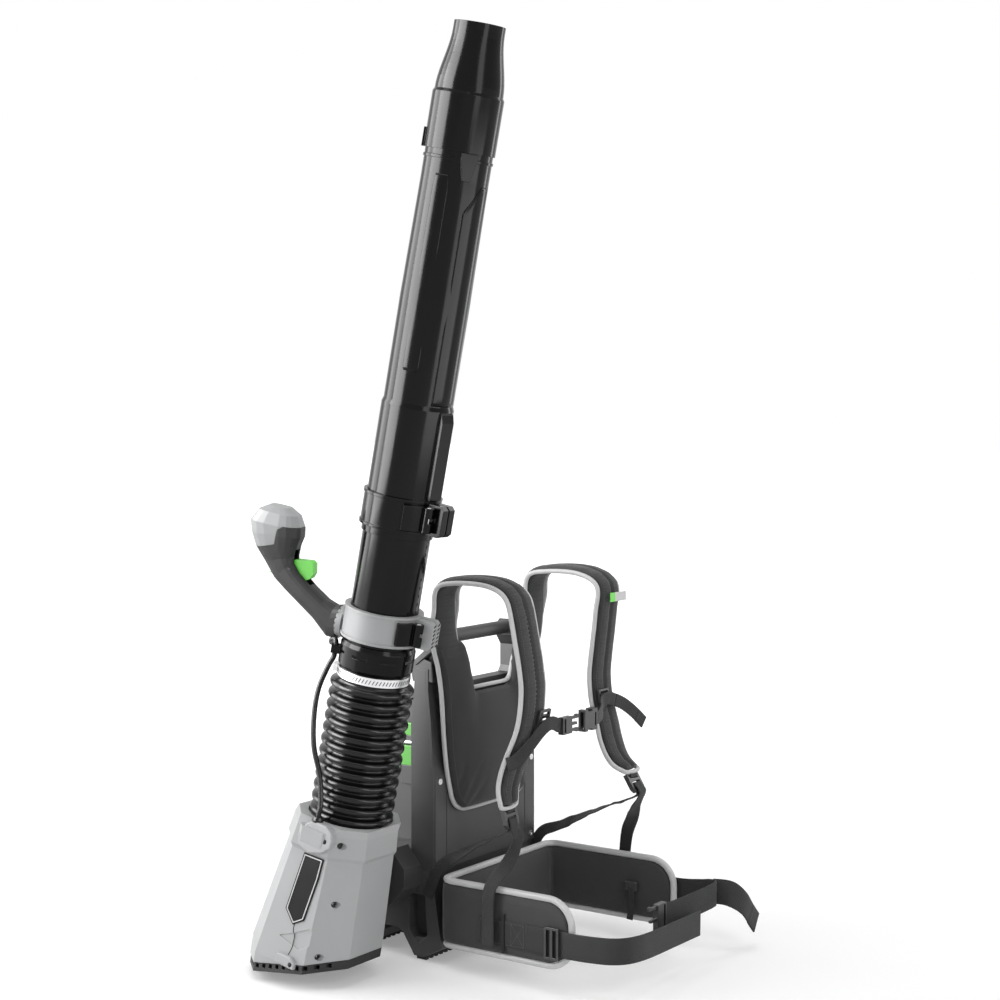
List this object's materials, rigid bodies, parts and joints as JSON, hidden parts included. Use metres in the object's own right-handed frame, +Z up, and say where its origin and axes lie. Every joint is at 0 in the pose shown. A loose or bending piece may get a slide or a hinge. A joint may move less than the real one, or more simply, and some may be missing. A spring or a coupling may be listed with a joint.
{
  "type": "backpack leaf blower",
  "caption": "Battery backpack leaf blower: padded harness and frame with a fan unit on a side pivot, ribbed hose, telescoping tube, tapered nozzle and control handle.",
  "frame": {"origin": "on the floor under the middle of the full-width front rubber sole", "axes": "+Z up; -Y is the wearer's forward; -X is the wearer's right, where the fan unit and tube stand"},
  "size_m": [0.5744, 0.5766, 1.3516],
  "materials": {
    "frame_plastic": "fine textured black nylon",
    "tube_plastic": "satin black polypropylene",
    "soft_rubber": "black rubber",
    "shell_grey": "fine textured light grey nylon",
    "signal_green": "bright green plastic",
    "bright_steel": "zinc-plated steel",
    "pad_fabric": "dark grey padded fabric with light grey piping",
    "webbing": "black woven webbing",
    "circuit_board": "coated circuit board"
  },
  "bodies": {
    "backpack": {"base_frame": "frame_plastic", "foot_soles": "soft_rubber", "back_frame": "frame_plastic", "front_panel": "frame_plastic", "panel_screws": "bright_steel", "carry_handle": "frame_plastic", "hub_mount": "frame_plastic", "pivot_spindle": "bright_steel", "control_board": "circuit_board", "battery_bay": "frame_plastic", "battery_contacts": "bright_steel", "back_pad": "pad_fabric", "shoulder_strap_right": "pad_fabric", "shoulder_strap_left": "pad_fabric", "strap_sliders": "frame_plastic", "ladder_lock_right": "frame_plastic", "ladder_lock_left": "frame_plastic", "strap_webbing_right": "webbing", "strap_webbing_left": "webbing", "chest_webbing_right": "webbing", "chest_webbing_left": "webbing", "chest_buckle_female": "frame_plastic", "belt_back_pad": "pad_fabric", "belt_wing_right": "pad_fabric", "belt_wing_left": "pad_fabric", "waist_webbing_right": "webbing", "waist_webbing_left": "webbing", "waist_slider": "frame_plastic", "waist_buckle_male": "frame_plastic"},
    "battery": {"battery_pack": "tube_plastic"},
    "battery_release": {"battery_release": "signal_green"},
    "chest_buckle_male": {"chest_buckle_male": "frame_plastic"},
    "fan_unit": {"fan_shell_front": "shell_grey", "fan_shell_rear": "shell_grey", "shell_screws": "bright_steel", "intake_grille": "tube_plastic", "fan_duct": "frame_plastic", "motor": "bright_steel", "pivot_bush": "frame_plastic", "cable_gland": "soft_rubber", "badge_plate": "tube_plastic", "hose": "soft_rubber", "throttle_cable": "soft_rubber"},
    "rotor": {"fan_rotor": "tube_plastic"},
    "tube": {"hose_clamp": "bright_steel", "hose_collar": "tube_plastic", "inner_tube": "tube_plastic"},
    "outer_tube": {"outer_tube": "tube_plastic", "tube_clamp": "tube_plastic", "tube_clamp_bolt": "bright_steel"},
    "tube_clamp_lever": {"tube_clamp_lever": "tube_plastic"},
    "nozzle": {"nozzle": "tube_plastic"},
    "handle_mount": {"handle_clamp": "shell_grey", "handle_clamp_bolt": "bright_steel"},
    "handle_clamp_lever": {"handle_clamp_lever": "tube_plastic"},
    "handle": {"handle_shell_right": "tube_plastic", "handle_shell_left": "tube_plastic", "handle_cap": "shell_grey"},
    "trigger": {"trigger": "signal_green"},
    "cruise_dial": {"cruise_dial": "signal_green"}
  },
  "joints": [
    {"name": "blower_pivot", "type": "hinge", "parent": "backpack", "child": "fan_unit", "pos_m": [-0.18, 0.0555, 0.13], "axis": [1, 0, 0], "range_deg": [0, 100]},
    {"name": "fan_spin", "type": "hinge", "parent": "fan_unit", "child": "rotor", "pos_m": [-0.25, 0.05959, 0.11042], "axis": [0, -0.2045, 0.9789], "continuous": true},
    {"name": "hose_bend", "type": "hinge", "parent": "fan_unit", "child": "tube", "pos_m": [-0.25, 0.01215, 0.33752], "axis": [0, 0.9789, 0.2045], "range_deg": [-20, 8], "stiffness_Nm_per_rad": 40, "deforming": ["hose", "throttle_cable"]},
    {"name": "tube_telescope", "type": "slide", "parent": "tube", "child": "outer_tube", "axis": [0, -0.2045, 0.9789], "range_m": [-0.06, 0.05]},
    {"name": "tube_lever_turn", "type": "hinge", "parent": "outer_tube", "child": "tube_clamp_lever", "pos_m": [-0.271, -0.12166, 0.66508], "axis": [0, -0.2045, 0.9789], "range_deg": [0, 100]},
    {"name": "nozzle_twist", "type": "hinge", "parent": "outer_tube", "child": "nozzle", "pos_m": [-0.25, -0.16945, 1.20675], "axis": [0, -0.2045, 0.9789], "range_deg": [0, 30]},
    {"name": "handle_slide", "type": "slide", "parent": "tube", "child": "handle_mount", "axis": [0, -0.2045, 0.9789], "range_m": [0, 0.04], "deforming": ["throttle_cable"]},
    {"name": "handle_lever_turn", "type": "hinge", "parent": "handle_mount", "child": "handle_clamp_lever", "pos_m": [-0.25372, -0.09213, 0.50779], "axis": [0, -0.2045, 0.9789], "range_deg": [0, 100]},
    {"name": "handle_tilt", "type": "hinge", "parent": "handle_mount", "child": "handle", "pos_m": [-0.26656, 0.03667, 0.52244], "axis": [-0.2588, 0.9455, 0.1975], "range_deg": [-25, 25], "deforming": ["throttle_cable"]},
    {"name": "trigger_pull", "type": "hinge", "parent": "handle", "child": "trigger", "pos_m": [-0.28843, 0.1047, 0.59591], "axis": [0.9659, 0.2533, 0.0529], "range_deg": [0, 12], "stiffness_Nm_per_rad": 0.35, "springref_deg": -8.59},
    {"name": "cruise_turn", "type": "hinge", "parent": "handle", "child": "cruise_dial", "pos_m": [-0.29426, 0.12782, 0.59154], "axis": [0.9659, 0.2533, 0.0529], "range_deg": [0, 60]},
    {"name": "battery_slide", "type": "slide", "parent": "backpack", "child": "battery", "axis": [0, 0, 1], "range_m": [0, 0.15]},
    {"name": "release_press", "type": "hinge", "parent": "backpack", "child": "battery_release", "pos_m": [-0.0818, 0.0528, 0.282], "axis": [0, 1, 0], "range_deg": [0, 6], "stiffness_Nm_per_rad": 0.8, "springref_deg": -5.73},
    {"name": "chest_buckle_close", "type": "slide", "parent": "backpack", "child": "chest_buckle_male", "axis": [1, 0, 0], "range_m": [0, 0.018], "deforming": ["chest_webbing_right"]}
  ]
}
